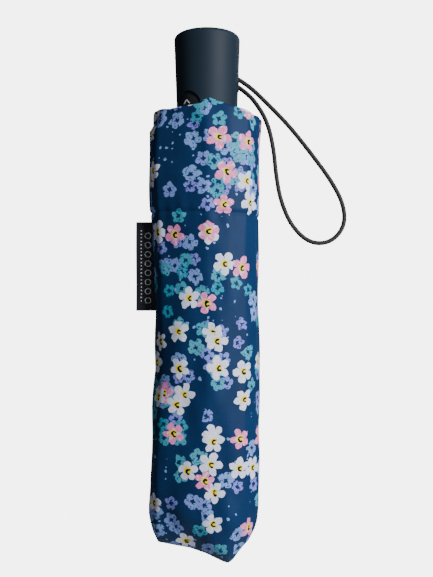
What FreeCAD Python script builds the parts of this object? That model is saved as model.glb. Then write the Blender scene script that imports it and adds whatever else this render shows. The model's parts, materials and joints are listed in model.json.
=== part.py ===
import FreeCAD, Part
import math
import os

# Compact folding umbrella, furled in its fabric sleeve. Millimetres, +Z up. The origin is the centre of the
# handle's flat end face, and the umbrella hangs down from it along -Z. Each rib set is drawn in its own
# radial plane, x outwards, and turned about Z.

V = FreeCAD.Vector

# handle
handle_length = 62.5
handle_end_radius = 17.8
handle_mouth_radius = 15.6
handle_edge_radius = 2.4
handle_wall = 2.2
handle_top_thickness = 4.0
core_radius = 8.6
core_bottom_z = -52.5
collar_height = 8.0

# push button, set in the handle's side
button_azimuth = 232.0
button_z = -43.3
button_width = 11.6
button_height = 18.0
button_gap = 0.3
button_face_radius = 17.2
bezel_width = 15.0
bezel_height = 21.4
bezel_floor_radius = 15.7

# wrist strap: centreline of the loop, from the upper hole of its eyelet back to the lower one
strap_diameter = 2.4
strap_route = [
    (16.9, 0.0, -22.9),
    (22.6, -0.4, -26.5),
    (31.4, -1.4, -35.2),
    (44.4, -2.8, -48.9),
    (56.4, -4.0, -64.5),
    (67.0, -4.6, -79.1),
    (73.4, -4.8, -91.8),
    (73.7, -4.6, -103.3),
    (66.2, -4.2, -111.7),
    (55.2, -3.8, -112.0),
    (45.4, -3.8, -102.9),
    (39.4, -4.2, -89.1),
    (36.9, -4.8, -75.0),
    (35.6, -5.4, -61.0),
    (32.2, -5.4, -46.8),
    (25.8, -3.6, -35.8),
    (20.4, -1.4, -29.9),
    (16.9, 0.0, -27.1),
]
arc_share = 0.45
eyelet_width = 4.6
eyelet_height = 9.4
eyelet_face_x = 17.2
eyelet_back_x = 13.6

# shaft: three tubes, each sliding in the one above it, (outer radius, inner radius, top z, bottom z)
lower_tube = (6.5, 5.9, -6.0, -224.5)
middle_tube = (5.6, 5.1, -24.5, -237.5)
upper_tube = (4.8, 4.2, -44.5, -251.0)
spring_wire = 0.8
spring_radius = 3.2
spring_top_z = -48.5
spring_bottom_z = -248.5
spring_turns = 26

# rib sets
rib_count = 8
pivot_pin_radius = 0.5
pivot_hole_radius = 0.6
ear_radius = 1.0
rib_half = 1.0
channel_wall = 0.4
tongue_half = 0.4
cheek_thickness = 0.5
end_gap = 1.6
web_length = 3.0
top_rib_x = 8.9
top_rib_z = -250.5
first_hinge_x = 11.0
first_hinge_z = -92.5
middle_rib_x = 13.1
second_hinge_x = 14.9
second_hinge_z = -256.5
outer_rib_x = 16.6
outer_rib_half = 0.8
outer_rib_end_z = -68.5
tip_end_z = -64.5
tip_radius = 1.2
stretcher_x = 8.9
stretcher_y = 2.2
stretcher_half_width = 0.7
stretcher_half_depth = 0.9
stretcher_top_z = -70.5
stretcher_length = 98.0

# crown, at the shaft's far end, and runner, which carries the stretchers
crown_radius = 10.4
crown_top_z = -246.0
crown_bottom_z = -255.5
crown_slot_half = 1.25
crown_slot_floor = 7.3
ferrule_radius = 8.0
ferrule_tip_z = -273.5
runner_bore = 6.8
runner_body_radius = 7.7
runner_flange_radius = 10.6
runner_top_z = -65.5
runner_flange_bottom_z = -74.5
runner_bottom_z = -89.5

# canopy: the furled bundle round the ribs, and the folded panels that lie along two of the ribs
bundle_inner_radius = 19.6
bundle_outer_radius = 21.2
bundle_top_z = -68.5
bundle_bottom_z = -256.5
band_height = 16.0
band_top_z = -144.5
band_thickness = 0.5
panel_thickness = 0.3
panel_near_y = 0.3
panel_far_y = 6.5
panel_places = {
    "inner": (10.15, -97.5, -240.5),
    "middle": (11.5, -97.5, -251.5),
    "outer": (17.8, -78.5, -251.5),
}
panel_ribs = {"front": 0, "back": 4}

# sleeve: (z, left x, right x, half depth) of each section from the mouth to the sewn end
sleeve_wall = 0.7
sleeve_points = 20
sleeve_squareness = 0.78
sleeve_sections = [
    (-36.5, -29.3, 29.2, 23.0),
    (-52.5, -30.0, 28.8, 23.6),
    (-94.5, -30.8, 27.4, 23.8),
    (-152.5, -28.6, 27.5, 23.5),
    (-194.5, -28.9, 27.5, 23.5),
    (-229.5, -30.2, 27.5, 23.7),
    (-258.5, -30.6, 27.1, 23.4),
    (-266.5, -28.8, 25.4, 20.6),
    (-273.5, -25.6, 21.2, 15.0),
    (-279.5, -8.0, 16.4, 8.0),
    (-284.1, 7.5, 13.6, 2.2),
]
# the mouth falls away at both sides: (inner x, outer x, z at outer x)
mouth_slants = [(12.0, 31.0, -47.5), (-16.0, -31.5, -41.5)]
label_box = (-38.8, -29.2, -0.5, 0.5, -148.5, -100.1)


def box(x0, x1, y0, y1, z0, z1):
    return Part.makeBox(x1 - x0, y1 - y0, z1 - z0, V(x0, y0, z0))


def rod_z(radius, z0, z1, x=0.0, y=0.0):
    return Part.makeCylinder(radius, z1 - z0, V(x, y, z0), V(0, 0, 1))


def rod_y(radius, x, z, y0, y1):
    return Part.makeCylinder(radius, y1 - y0, V(x, y0, z), V(0, 1, 0))


def tube_z(outer, inner, top, bottom):
    return rod_z(outer, bottom, top).cut(rod_z(inner, bottom - 1, top + 1))


def stadium(x0, x1, width, height, z):
    """Prism along x with round ends up and down, width across y and height along z."""
    half = width / 2
    reach = height / 2 - half
    prism = box(x0, x1, -half, half, z - reach, z + reach)
    for end in (z - reach, z + reach):
        prism = prism.fuse(Part.makeCylinder(half, x1 - x0, V(x0, 0, end), V(1, 0, 0)))
    return prism.removeSplitter()


def turned(shape, degrees):
    copy = shape.copy()
    copy.rotate(V(0, 0, 0), V(0, 0, 1), degrees)
    return copy


def coil(radius, wire, height, turns):
    """Open coil along +Z from the origin, of round wire."""
    pitch = height / turns
    path = Part.makeHelix(pitch, height, radius)
    section = Part.Wire(Part.makeCircle(wire / 2, V(radius, 0, 0), V(0, radius, pitch / (2 * math.pi))))
    return Part.Wire(path).makePipeShell([section], True, True)


def save(node, *shapes):
    solids = [solid for shape in shapes for solid in shape.Solids]
    whole = solids[0] if len(solids) == 1 else Part.makeCompound(solids)
    whole.exportStep("parts/" + node + ".step")
    print(node, len(solids), round(sum(solid.Volume for solid in solids), 1))


def handle_radius_at(z):
    share = (-handle_edge_radius - z) / (handle_length - handle_edge_radius)
    return handle_end_radius + (handle_mouth_radius - handle_end_radius) * share


def make_handle_shell():
    """Tapered cup with a flat end, a rounded edge, a button well and a hole for the strap's eyelet."""
    edge = handle_edge_radius
    flat = handle_end_radius - edge
    corner = V(flat + edge * math.sin(math.pi / 4), 0, -edge + edge * math.cos(math.pi / 4))
    inner_top = handle_radius_at(-handle_top_thickness) - handle_wall
    inner_mouth = handle_mouth_radius - handle_wall
    straight = [
        V(handle_end_radius, 0, -edge),
        V(handle_mouth_radius, 0, -handle_length),
        V(inner_mouth, 0, -handle_length),
        V(inner_top, 0, -handle_top_thickness),
        V(0, 0, -handle_top_thickness),
        V(0, 0, 0),
        V(flat, 0, 0),
    ]
    outline = [Part.LineSegment(a, b).toShape() for a, b in zip(straight, straight[1:])]
    outline.append(Part.Arc(V(flat, 0, 0), corner, V(handle_end_radius, 0, -edge)).toShape())
    shell = Part.Face(Part.Wire(outline)).revolve(V(0, 0, 0), V(0, 0, 1), 360)
    opening = stadium(10, 20, button_width + 2 * button_gap, button_height + 2 * button_gap, button_z)
    bezel = stadium(10, 20, bezel_width, bezel_height, button_z)
    bezel = bezel.cut(rod_z(bezel_floor_radius, -handle_length, 0))
    shell = shell.cut(turned(opening.fuse(bezel), button_azimuth))
    eyelet_hole = stadium(10, 20, eyelet_width, eyelet_height, strap_middle_z())
    return shell.cut(eyelet_hole)


def strap_middle_z():
    return (strap_route[0][2] + strap_route[-1][2]) / 2


def make_eyelet():
    """Insert in the handle's side that the strap's two ends run into."""
    body = stadium(eyelet_back_x, eyelet_face_x, eyelet_width, eyelet_height, strap_middle_z())
    for end in (strap_route[0], strap_route[-1]):
        hole = Part.makeCylinder(strap_diameter / 2, 3.0, V(end[0] - 1.6, 0, end[2]), V(1, 0, 0))
        body = body.cut(hole)
    return body


def make_button():
    """Oval cap that follows the handle's round face, with a wider flange inside the wall."""
    cap = stadium(12.0, 20, button_width, button_height, button_z)
    cap = cap.common(rod_z(button_face_radius, -handle_length, 0))
    flange = stadium(11.2, 12.2, button_width + 1.6, button_height + 1.6, button_z)
    return turned(cap.fuse(flange).removeSplitter(), button_azimuth)


def make_button_spring():
    spring = coil(2.0, 0.5, 2.0, 3)
    spring.rotate(V(0, 0, 0), V(0, 1, 0), 90)
    spring.translate(V(core_radius + 0.3, 0, button_z))
    return turned(spring, button_azimuth)


def make_strap():
    """Round cord swept along straight runs that are joined by tangent arcs."""
    points = [V(*p) for p in strap_route]
    runs = [(b - a).Length for a, b in zip(points, points[1:])]
    edges = []
    start = points[0]
    for i in range(1, len(points) - 1):
        back = (points[i - 1] - points[i]).normalize()
        ahead = (points[i + 1] - points[i]).normalize()
        half_turn = (math.pi - back.getAngle(ahead)) / 2
        shorter = min(runs[i - 1], runs[i])
        setback = arc_share * shorter
        radius = setback / math.tan(half_turn)
        print("strap arc", i, "radius", round(radius, 1), "turn", round(math.degrees(2 * half_turn), 1))
        inwards = (back + ahead).normalize()
        centre = points[i] + inwards * (radius / math.cos(half_turn))
        arc_start = points[i] + back * setback
        arc_end = points[i] + ahead * setback
        edges.append(Part.LineSegment(start, arc_start).toShape())
        edges.append(Part.Arc(arc_start, centre - inwards * radius, arc_end).toShape())
        start = arc_end
    edges.append(Part.LineSegment(start, points[-1]).toShape())
    path = Part.Wire(edges)
    first_run = points[1] - points[0]
    section = Part.Wire(Part.makeCircle(strap_diameter / 2, points[0], first_run))
    tube = path.makePipeShell([section], True, True)
    expected = math.pi * strap_diameter ** 2 / 4 * path.Length
    print("strap length", round(path.Length, 1))
    print("strap volume", round(tube.Volume, 1), "expected", round(expected, 1))
    return tube


def channel(x, half, z0, z1, open_side):
    """U channel bar along z, centred on x, open towards open_side (+1 outwards, -1 inwards)."""
    inner = half - channel_wall
    groove = box(x - inner, x + half + 1, -inner, inner, z0 - 1, z1 + 1)
    if open_side < 0:
        groove = box(x - half - 1, x + inner, -inner, inner, z0 - 1, z1 + 1)
    return box(x - half, x + half, -half, half, z0, z1).cut(groove)


def cheeks(hinge_x, hinge_z, bar_x, towards):
    """Forked end: two ears and the rivet between them. towards is +1 if the bar lies above the hinge."""
    fork = None
    for y0 in (-rib_half, rib_half - cheek_thickness):
        ear = rod_y(ear_radius, hinge_x, hinge_z, y0, y0 + cheek_thickness)
        far = hinge_z + towards * web_length
        web = box(min(bar_x, hinge_x), max(bar_x, hinge_x), y0, y0 + cheek_thickness,
                  min(hinge_z, far), max(hinge_z, far))
        ear = ear.fuse(web)
        fork = ear if fork is None else fork.fuse(ear)
    return fork.fuse(rod_y(pivot_pin_radius, hinge_x, hinge_z, -rib_half, rib_half))


def tongue(hinge_x, hinge_z, bar_x, towards):
    """Single ear with a hole for the rivet, in the middle of the bar's width."""
    far = hinge_z + towards * web_length
    ear = rod_y(ear_radius, hinge_x, hinge_z, -tongue_half, tongue_half)
    web = box(min(bar_x, hinge_x), max(bar_x, hinge_x), -tongue_half, tongue_half,
              min(hinge_z, far), max(hinge_z, far))
    return ear.fuse(web)


def rivet_hole(x, z):
    return rod_y(pivot_hole_radius, x, z, -5, 5)


def make_top_rib():
    bar = channel(top_rib_x, rib_half, top_rib_z + 3.0, first_hinge_z - end_gap, -1)
    root_ear = rod_y(ear_radius, top_rib_x, top_rib_z, -0.7, 0.7)
    root_web = box(top_rib_x - rib_half, top_rib_x + rib_half, -0.7, 0.7, top_rib_z, top_rib_z + 4.5)
    root = root_ear.fuse(root_web).cut(rivet_hole(top_rib_x, top_rib_z))
    fork = cheeks(first_hinge_x, first_hinge_z, top_rib_x - rib_half, -1)
    return bar.fuse(root).fuse(fork).removeSplitter()


def make_middle_rib():
    bar = channel(middle_rib_x, rib_half, second_hinge_z + end_gap, first_hinge_z - end_gap, 1)
    ear = tongue(first_hinge_x, first_hinge_z, middle_rib_x + rib_half, -1)
    ear = ear.cut(rivet_hole(first_hinge_x, first_hinge_z))
    fork = cheeks(second_hinge_x, second_hinge_z, middle_rib_x - rib_half, 1)
    return bar.fuse(ear).fuse(fork).removeSplitter()


def make_outer_rib():
    """Round spoke with a flat eye at its hinge, and the moulded tip that the canopy is sewn to."""
    spoke = rod_z(outer_rib_half, second_hinge_z + end_gap, outer_rib_end_z, outer_rib_x)
    ear = tongue(second_hinge_x, second_hinge_z, outer_rib_x, 1)
    spoke = spoke.fuse(ear).cut(rivet_hole(second_hinge_x, second_hinge_z)).removeSplitter()
    tip = rod_z(tip_radius, outer_rib_end_z - 6.0, tip_end_z - tip_radius, outer_rib_x)
    tip = tip.fuse(Part.makeSphere(tip_radius, V(outer_rib_x, 0, tip_end_z - tip_radius)))
    tip = tip.cut(spoke)
    return spoke, tip


def make_stretcher():
    bottom = stretcher_top_z - stretcher_length
    y0 = stretcher_y - stretcher_half_width
    y1 = stretcher_y + stretcher_half_width
    bar = box(stretcher_x - stretcher_half_depth, stretcher_x + stretcher_half_depth, y0, y1,
              bottom, stretcher_top_z)
    for z in (bottom, stretcher_top_z):
        bar = bar.fuse(rod_y(stretcher_half_depth, stretcher_x, z, y0, y1))
    bar = bar.cut(rod_y(pivot_hole_radius, stretcher_x, stretcher_top_z, y0 - 1, y1 + 1))
    rivet_head = rod_y(stretcher_half_depth, stretcher_x, bottom, y1, y1 + 0.4)
    return bar.fuse(rivet_head).removeSplitter()


def make_crown():
    """Slotted hub with a pin across each slot, closed below and bored for the upper tube."""
    hub = rod_z(crown_radius, crown_bottom_z, crown_top_z)
    hub = hub.cut(rod_z(upper_tube[0], upper_tube[3], crown_top_z + 1))
    slot = box(crown_slot_floor, crown_radius + 1, -crown_slot_half, crown_slot_half,
               crown_bottom_z - 1, crown_top_z + 1)
    pin = rod_y(pivot_pin_radius, top_rib_x, top_rib_z, -2.2, 2.2)
    for i in range(rib_count):
        angle = 360.0 / rib_count * i
        hub = hub.cut(turned(slot, angle)).fuse(turned(pin, angle))
    return hub.removeSplitter()


def make_ferrule():
    """Blunt cap that clamps the canopy's centre to the crown."""
    flange = rod_z(ferrule_radius, crown_bottom_z - 2.0, crown_bottom_z)
    height = crown_bottom_z - 2.0 - ferrule_tip_z
    nose = Part.makeCone(4.6, 5.6, height, V(0, 0, ferrule_tip_z), V(0, 0, 1))
    return flange.fuse(nose).removeSplitter()


def make_runner():
    """Sliding collar with a slotted flange, and a pin across each slot for a stretcher."""
    body = rod_z(runner_body_radius, runner_bottom_z, runner_top_z)
    body = body.fuse(rod_z(runner_flange_radius, runner_flange_bottom_z, runner_top_z))
    body = body.cut(rod_z(runner_bore, runner_bottom_z - 1, runner_top_z + 1))
    slot = box(stretcher_x - 1.3, runner_flange_radius + 1, stretcher_y - 1.0, stretcher_y + 1.0,
               runner_flange_bottom_z - 1, runner_top_z + 1)
    pin = rod_y(pivot_pin_radius, stretcher_x, stretcher_top_z, stretcher_y - 2.0, stretcher_y + 2.0)
    for i in range(rib_count):
        angle = 360.0 / rib_count * i
        body = body.cut(turned(slot, angle)).fuse(turned(pin, angle))
    return body.removeSplitter()


def section_wire(section, inset):
    """Closed outline of the sleeve at one height: a squared oval, so that it reads as cloth over ribs."""
    z, left, right, depth = section
    centre = (left + right) / 2
    half = (right - left) / 2 - inset
    points = []
    for k in range(sleeve_points):
        angle = 2 * math.pi * (k + 0.5) / sleeve_points
        x = math.copysign(abs(math.cos(angle)) ** sleeve_squareness, math.cos(angle))
        y = math.copysign(abs(math.sin(angle)) ** sleeve_squareness, math.sin(angle))
        points.append(V(centre + half * x, (depth - inset) * y, z))
    return Part.makePolygon(points + points[:1])


def make_sleeve():
    """Thin fabric bag, open at the mouth."""
    outer = Part.makeLoft([section_wire(s, 0.0) for s in sleeve_sections], True, True)
    mouth = sleeve_sections[0]
    above = (mouth[0] + 1.0,) + mouth[1:]
    inner_sections = [above] + sleeve_sections[1:-1]
    inner = Part.makeLoft([section_wire(s, sleeve_wall) for s in inner_sections], True, True)
    bag = outer.cut(inner)
    for near_x, far_x, far_z in mouth_slants:
        near = V(near_x, -30, mouth[0])
        wedge = Part.Face(Part.makePolygon([near, V(far_x, -30, mouth[0] + 2), V(far_x, -30, far_z), near]))
        bag = bag.cut(wedge.extrude(V(0, 60, 0)))
    return bag


def make_panel(name, rib):
    """One folded canopy panel, lying along a rib segment."""
    x, top, bottom = panel_places[name]
    panel = box(x, x + panel_thickness, panel_near_y, panel_far_y, bottom, top)
    return turned(panel, 360.0 / rib_count * rib)


os.makedirs("parts", exist_ok=True)

save("handle_shell", make_handle_shell())
save("handle_core", tube_z(core_radius, lower_tube[0], -handle_top_thickness, core_bottom_z))
save("handle_collar", tube_z(handle_mouth_radius - handle_wall, lower_tube[0],
                             -handle_length + collar_height - 1.0, -handle_length))
save("strap_eyelet", make_eyelet())
save("wrist_strap", make_strap())
save("push_button", make_button())
save("button_spring", make_button_spring())
save("lower_tube", tube_z(*lower_tube))
save("middle_tube", tube_z(*middle_tube))
save("upper_tube", tube_z(*upper_tube))

opening_spring = coil(spring_radius, spring_wire, spring_top_z - spring_bottom_z, spring_turns)
opening_spring.translate(V(0, 0, spring_bottom_z))
save("opening_spring", opening_spring)

save("crown", make_crown())
save("ferrule", make_ferrule())
save("runner", make_runner())
save("canopy_bundle", tube_z(bundle_outer_radius, bundle_inner_radius, bundle_top_z, bundle_bottom_z))
save("canopy_tie", tube_z(bundle_outer_radius + band_thickness, bundle_outer_radius,
                          band_top_z, band_top_z - band_height))

top_rib = make_top_rib()
middle_rib = make_middle_rib()
outer_rib = make_outer_rib()
stretcher = make_stretcher()
for number in range(rib_count):
    turn = 360.0 / rib_count * number
    save("top_rib_%d" % (number + 1), turned(top_rib, turn))
    save("middle_rib_%d" % (number + 1), turned(middle_rib, turn))
    save("outer_rib_%d" % (number + 1), *[turned(solid, turn) for solid in outer_rib])
    save("stretcher_%d" % (number + 1), turned(stretcher, turn))

for side, rib in panel_ribs.items():
    for segment in panel_places:
        save("canopy_panel_%s_%s" % (side, segment), make_panel(segment, rib))

save("sleeve", make_sleeve())
save("sleeve_label", box(*label_box))
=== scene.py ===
import json
import math

import bpy
import numpy as np
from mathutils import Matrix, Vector


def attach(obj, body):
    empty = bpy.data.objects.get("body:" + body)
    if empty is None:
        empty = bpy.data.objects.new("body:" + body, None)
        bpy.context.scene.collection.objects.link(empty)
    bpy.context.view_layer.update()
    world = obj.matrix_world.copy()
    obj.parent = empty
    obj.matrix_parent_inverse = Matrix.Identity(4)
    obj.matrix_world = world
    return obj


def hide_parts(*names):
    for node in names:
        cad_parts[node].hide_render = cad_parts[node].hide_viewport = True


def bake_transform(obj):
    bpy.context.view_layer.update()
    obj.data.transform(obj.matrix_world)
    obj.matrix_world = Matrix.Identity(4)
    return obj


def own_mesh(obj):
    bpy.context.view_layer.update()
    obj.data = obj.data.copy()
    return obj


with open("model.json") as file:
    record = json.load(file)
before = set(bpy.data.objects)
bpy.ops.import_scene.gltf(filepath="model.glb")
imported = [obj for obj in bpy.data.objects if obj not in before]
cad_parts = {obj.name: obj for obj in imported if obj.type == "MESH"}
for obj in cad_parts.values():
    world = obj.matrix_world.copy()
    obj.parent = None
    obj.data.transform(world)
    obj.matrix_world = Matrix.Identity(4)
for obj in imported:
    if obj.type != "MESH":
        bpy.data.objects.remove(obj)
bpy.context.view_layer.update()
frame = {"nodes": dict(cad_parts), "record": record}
cadNodes = frame["nodes"]
print("frame loaded:", len(cadNodes), "nodes")

# camera
cameraPlan = {"distance": 0.40, "x": 0.0051, "z": -0.1362, "seenHeight": 0.3127, "sensor": 36.0}

cameraData = bpy.data.cameras.new("camera")
cameraData.sensor_width = cameraPlan["sensor"]
cameraData.lens = cameraPlan["sensor"] * cameraPlan["distance"] / cameraPlan["seenHeight"]
camera = bpy.data.objects.new("camera", cameraData)
bpy.context.scene.collection.objects.link(camera)
camera.location = (cameraPlan["x"], -cameraPlan["distance"], cameraPlan["z"])
camera.rotation_euler = (math.radians(90), 0, 0)
bpy.context.scene.camera = camera

# wrist strap: a loop of round cord that hangs from the eyelet and goes back into it
strapPlan = {
    "diameter": 0.0024,
    "length": 0.219,
    "route": [
        (0.0169, 0.0000, -0.0229),
        (0.0226, -0.0004, -0.0265),
        (0.0314, -0.0014, -0.0352),
        (0.0444, -0.0028, -0.0489),
        (0.0564, -0.0040, -0.0645),
        (0.0670, -0.0046, -0.0791),
        (0.0734, -0.0048, -0.0918),
        (0.0737, -0.0046, -0.1033),
        (0.0662, -0.0042, -0.1117),
        (0.0552, -0.0038, -0.1120),
        (0.0454, -0.0038, -0.1029),
        (0.0394, -0.0042, -0.0891),
        (0.0369, -0.0048, -0.0750),
        (0.0356, -0.0054, -0.0610),
        (0.0322, -0.0054, -0.0468),
        (0.0258, -0.0036, -0.0358),
        (0.0204, -0.0014, -0.0299),
        (0.0169, 0.0000, -0.0271),
    ],
}

strapCurve = bpy.data.curves.new("wrist_strap_cord", "CURVE")
strapCurve.dimensions = "3D"
strapLine = strapCurve.splines.new("NURBS")
strapLine.points.add(len(strapPlan["route"]) - 1)
for point, place in zip(strapLine.points, strapPlan["route"]):
    point.co = (*place, 1.0)
    point.radius = strapPlan["diameter"] / 2
strapLine.order_u = 3
strapLine.use_endpoint_u = True
strapLine.resolution_u = 10
strapCurve.bevel_depth = 1.0  # times the radius of each point
strapCurve.bevel_resolution = 5
strapCurve.use_fill_caps = True
strap = bpy.data.objects.new("wrist_strap_cord", strapCurve)
bpy.context.scene.collection.objects.link(strap)
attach(strap, "handle")
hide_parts("wrist_strap")
print("camera and strap placed")


# mesh helpers
def addMesh(name, points, faces, uv=None):
    # points is n x 3, faces is m x 4 point numbers, uv is n x 2 in metres
    mesh = bpy.data.meshes.new(name)
    mesh.vertices.add(len(points))
    mesh.vertices.foreach_set("co", np.asarray(points, np.float32).ravel())
    mesh.loops.add(faces.size)
    mesh.loops.foreach_set("vertex_index", faces.astype(np.int32).ravel())
    mesh.polygons.add(len(faces))
    mesh.polygons.foreach_set("loop_start", np.arange(0, faces.size, faces.shape[1], dtype=np.int32))
    mesh.polygons.foreach_set("use_smooth", np.ones(len(faces), bool))
    if uv is not None:
        layer = mesh.uv_layers.new(name="cloth")
        layer.data.foreach_set("uv", np.asarray(uv, np.float32)[faces.ravel()].ravel())
    mesh.update(calc_edges=True)
    mesh.validate()
    piece = bpy.data.objects.new(name, mesh)
    bpy.context.scene.collection.objects.link(piece)
    return piece


def gridFaces(rows, columns, closed=False, flip=False):
    # quads between neighbouring rows and columns; closed joins the last row to the first
    i = np.arange(rows if closed else rows - 1)[:, None]
    j = np.arange(columns - 1)[None, :]
    nextRow = (i + 1) % rows
    here = i * columns + j
    there = nextRow * columns + j
    quad = np.stack([here, there, there + 1, here + 1], -1)
    quad = quad.reshape(-1, 4)
    return quad[:, ::-1] if flip else quad


def addGrid(name, points, uv=None, closed=False, flip=False):
    rows, columns = points.shape[:2]
    flatUv = None if uv is None else uv.reshape(-1, 2)
    return addMesh(name, points.reshape(-1, 3), gridFaces(rows, columns, closed, flip), flatUv)


def addRods(name, starts, ends, radius, sides=6):
    # short rods from each start to each end, all in one mesh, narrow at their ends
    along = ends - starts
    length = np.linalg.norm(along, axis=1, keepdims=True)
    unit = along / length
    helper = np.where(np.abs(unit[:, 2:3]) > 0.9, [[1.0, 0, 0]], [[0, 0, 1.0]])
    side = np.cross(unit, helper)
    side /= np.linalg.norm(side, axis=1, keepdims=True)
    other = np.cross(unit, side)
    angle = np.linspace(0, 2 * math.pi, sides, endpoint=False)
    share = np.array([0.0, 0.15, 0.5, 0.85, 1.0])
    girth = np.array([0.25, 0.9, 1.0, 0.9, 0.25]) * radius
    ring = (np.cos(angle)[None, None, :, None] * side[:, None, None, :]
            + np.sin(angle)[None, None, :, None] * other[:, None, None, :])
    points = starts[:, None, None, :] + along[:, None, None, :] * share[None, :, None, None]
    points = points + ring * girth[None, :, None, None]
    count, rings = len(starts), len(share)
    k = np.arange(count)[:, None, None]
    r = np.arange(rings - 1)[None, :, None]
    s = np.arange(sides)[None, None, :]
    first = k * rings * sides + r * sides
    turned = (s + 1) % sides
    quad = np.stack([first + s, first + turned, first + sides + turned, first + sides + s], -1)
    caps = []
    for ringNumber, order in ((0, (3, 2, 1, 0)), (rings - 1, (0, 1, 2, 3))):
        base = np.arange(count)[:, None] * rings * sides + ringNumber * sides
        for corners in ((0, 1, 2, 3), (0, 3, 4, 5)):
            caps.append(base + np.array([corners[o] for o in order])[None, :])
    faces = np.concatenate([quad.reshape(-1, 4)] + caps)
    return addMesh(name, points.reshape(-1, 3), faces)


def smoothStep(value, low, high):
    # t * t * (3 - 2 * t), with t from 0 at low to 1 at high
    t = np.clip((value - low) / (high - low), 0, 1)
    return t * t * (3 - 2 * t)


# material helpers
def newMaterial(name, **settings):
    # new node material with its shader's own sockets set
    material = bpy.data.materials.new(name)
    material.use_nodes = True
    tree = material.node_tree
    shader = tree.nodes["Principled BSDF"]
    for socket, value in settings.items():
        shader.inputs[socket.replace("_", " ")].default_value = value
    return material, tree, shader


def mathNode(tree, kind, a, b=0.0, c=0.0):
    # one sum on numbers or sockets
    node = tree.nodes.new("ShaderNodeMath")
    node.operation = kind
    for socket, value in zip(node.inputs, (a, b, c)):
        if isinstance(value, (int, float)):
            socket.default_value = value
        else:
            tree.links.new(value, socket)
    return node.outputs[0]


def vectorNode(tree, kind, a, b=(0, 0, 0), scale=1.0):
    # one sum on vectors
    node = tree.nodes.new("ShaderNodeVectorMath")
    node.operation = kind
    for socket, value in zip(node.inputs, (a, b)):
        if isinstance(value, tuple):
            socket.default_value = value
        else:
            tree.links.new(value, socket)
    if kind == "SCALE":
        node.inputs["Scale"].default_value = scale
    return node.outputs["Value"] if kind in ("LENGTH", "DOT_PRODUCT") else node.outputs["Vector"]


def mixColor(tree, factor, a, b):
    # a where the factor is 0, b where it is 1
    node = tree.nodes.new("ShaderNodeMix")
    node.data_type = "RGBA"
    for socket, value in ((node.inputs[0], factor), (node.inputs[6], a), (node.inputs[7], b)):
        if isinstance(value, tuple):
            socket.default_value = (*value, 1.0)
        elif isinstance(value, (int, float)):
            socket.default_value = value
        else:
            tree.links.new(value, socket)
    return node.outputs[2]


def noiseNode(tree, vector, scale, detail=2.0, roughness=0.5, dimensions="3D"):
    node = tree.nodes.new("ShaderNodeTexNoise")
    node.noise_dimensions = dimensions
    node.inputs["Scale"].default_value = scale
    node.inputs["Detail"].default_value = detail
    node.inputs["Roughness"].default_value = roughness
    tree.links.new(vector, node.inputs["Vector"])
    return node.outputs["Fac"], node.outputs["Color"]


def softLimit(tree, value, low, high):
    # 0 below low, 1 above high, smooth between
    node = tree.nodes.new("ShaderNodeMapRange")
    node.interpolation_type = "SMOOTHSTEP"
    node.inputs["From Min"].default_value = low
    node.inputs["From Max"].default_value = high
    tree.links.new(value, node.inputs["Value"])
    return node.outputs["Result"]


def splitVector(tree, vector):
    node = tree.nodes.new("ShaderNodeSeparateXYZ")
    tree.links.new(vector, node.inputs[0])
    return node.outputs[0], node.outputs[1], node.outputs[2]


def bumpNode(tree, shader, height, strength, distance):
    node = tree.nodes.new("ShaderNodeBump")
    node.inputs["Strength"].default_value = strength
    node.inputs["Distance"].default_value = distance
    tree.links.new(height, node.inputs["Height"])
    tree.links.new(node.outputs["Normal"], shader.inputs["Normal"])


def coordinates(tree, kind):
    return tree.nodes.new("ShaderNodeTexCoord").outputs[kind]


# print of small flowers on navy cloth, lengths in metres
printPlan = {
    "navy": (0.0042, 0.0260, 0.088),
    "white": (0.70, 0.76, 0.96),
    "pink": (0.84, 0.20, 0.46),
    "lilacWash": (0.66, 0.50, 0.86),
    "paleWash": (0.88, 0.86, 0.98),
    "yellow": (0.92, 0.74, 0.02),
    "ink": (0.002, 0.006, 0.010),
    "turquoise": (0.012, 0.28, 0.42),
    "paleTurquoise": (0.09, 0.36, 0.50),
    "periwinkle": (0.20, 0.20, 0.70),
    "skyBlue": (0.19, 0.34, 0.72),
    "petalCount": 5,
    "edge": (-0.00005, 0.00012),
    "big": {"looseness": 0.62, "radius": 0.0052, "spread": 0.0012, "waist": 0.34, "roundness": 0.55,
            "patchScale": 21.0, "patchLow": 0.40, "washScale": 420.0},
    "eye": {"radius": 0.0020, "rays": 9.0, "rayDepth": 0.00025},
    "crescent": {"shift": (-0.00055, -0.0003, 0.0), "radius": 0.00105, "halfWidth": 0.00055},
    "small": {"looseness": 0.8, "radius": 0.0034, "spread": 0.0014, "waist": 0.62, "roundness": 0.7,
              "patchScale": 26.0, "patchLow": 0.50, "heart": 0.0011, "heartWaves": 4.0,
              "heartDepth": 0.0003, "brushScale": 900.0},
    "speck": {"looseness": 0.9, "radius": 0.0003, "spread": 0.0007, "patchScale": 30.0, "patchLow": 0.52},
    # cell size, shift of the cells, share of cells that bloom, colours, share of the second colour
    "specks": (0.0036, 0.311, 0.34, "skyBlue"),
    "blossoms": [(0.0088, 0.127, 0.62, "periwinkle", "skyBlue"),
                 (0.0095, 0.743, 0.55, "turquoise", "paleTurquoise")],
    "flowers": [(0.0165, 0.519, 0.62, "pink", "white", 0.42),
                (0.0175, 0.957, 0.60, "white", "pink", 0.22)],
    "wobbleScale": 330.0,
    "wobble": 0.0016,
    "fadeScale": 60.0,
    "fade": (0.8, 1.25),
    "threadPitch": 0.00042,
    "threadShade": ((0.70, 0.70, 0.70), (1.12, 1.12, 1.12)),
    "slubScale": 1500.0,
    "bump": (0.35, 0.00012),
    "sheenTint": (0.20, 0.48, 1.0, 1.0),
}


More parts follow.
